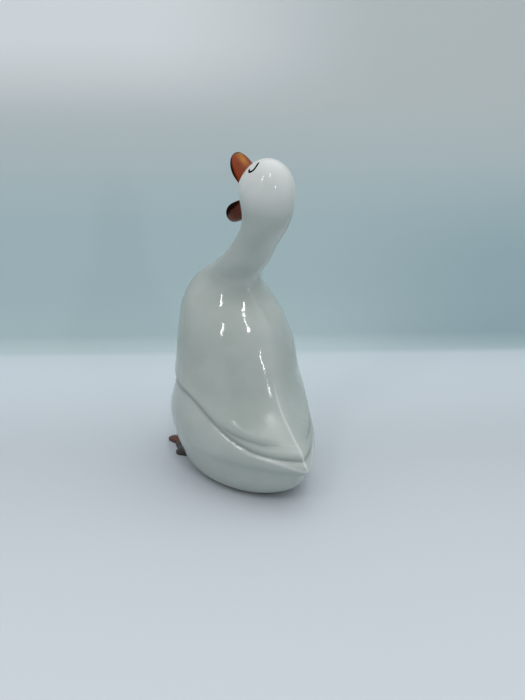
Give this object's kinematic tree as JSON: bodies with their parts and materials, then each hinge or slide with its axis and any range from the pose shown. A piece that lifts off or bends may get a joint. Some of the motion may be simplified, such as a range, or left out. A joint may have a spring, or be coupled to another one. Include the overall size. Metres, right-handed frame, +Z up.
{
  "type": "duck figurine",
  "caption": "Glazed ceramic duck standing upright with its head thrown back and its bill wide open.",
  "frame": {"origin": "on the flat base, below the middle of the body, in the left-right middle plane", "axes": "+Z up from the base to the head, -Y the way the duck faces, +X to the duck's left"},
  "size_m": [0.0956, 0.1464, 0.2197],
  "materials": {
    "glazed_ceramic": "glossy greyish white glaze; bill and feet red-brown glaze; bare biscuit-coloured clay under the base"
  },
  "bodies": {
    "root": {"duck": "glazed_ceramic"}
  },
  "joints": []
}
